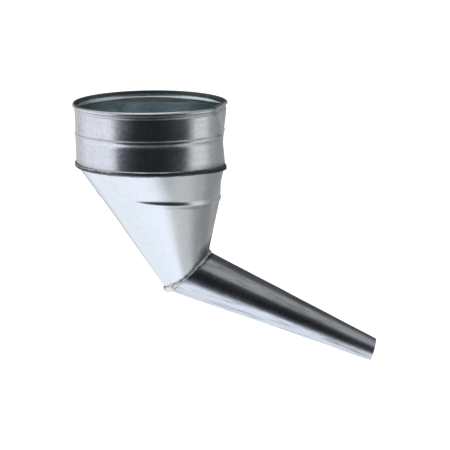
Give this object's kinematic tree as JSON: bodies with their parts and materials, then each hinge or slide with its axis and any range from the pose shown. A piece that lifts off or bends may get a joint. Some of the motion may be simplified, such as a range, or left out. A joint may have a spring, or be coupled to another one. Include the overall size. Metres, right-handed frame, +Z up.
{
  "type": "offset funnel",
  "caption": "Sheet-metal funnel with a D-shaped bowl band, slanting cone, long offset tapered spout and a lift-out gauze strainer.",
  "frame": {"origin": "on the bowl's axis, in the plane of its rim", "axes": "+Z up out of the mouth, +X the way the spout points, seen from above"},
  "size_m": [0.4025, 0.204, 0.3564],
  "materials": {
    "galvanised_band": "bright hot-dip zinc with fine spangle, lightly streaked",
    "galvanised_cone": "bright hot-dip zinc, slightly duller than the band",
    "galvanised_spout": "bright hot-dip zinc with streaks along its length",
    "rim_wire": "plain drawn steel wire",
    "solder": "grey tin solder, lumpy, with flux stain",
    "strainer_brass": "plain rolled brass",
    "brass_gauze": "woven brass wire",
    "rivet_brass": "plain brass",
    "bail_wire": "drawn brass wire"
  },
  "bodies": {
    "funnel": {"bowl_band": "galvanised_band", "rim_wire": "rim_wire", "bowl_cone": "galvanised_cone", "spout": "galvanised_spout", "bowl_seam_solder": "solder", "band_seam_solder": "solder", "cone_seam_solder": "solder", "spout_seam_solder": "solder", "spout_joint_solder": "solder"},
    "strainer": {"strainer_hoop": "strainer_brass", "strainer_gauze": "brass_gauze", "strainer_clamp_ring": "strainer_brass", "gauze_support_cross": "strainer_brass", "bail_ear_front": "strainer_brass", "bail_ear_back": "strainer_brass", "ear_rivets": "rivet_brass"},
    "bail": {"strainer_bail": "bail_wire"}
  },
  "joints": [
    {"name": "strainer_lift", "type": "slide", "parent": "funnel", "child": "strainer", "axis": [0, 0, 1], "range_m": [0, 0.16]},
    {"name": "bail_swing", "type": "hinge", "parent": "strainer", "child": "bail", "pos_m": [0.01129, 0, -0.11637], "axis": [0, 1, 0], "range_deg": [0, 150]}
  ]
}
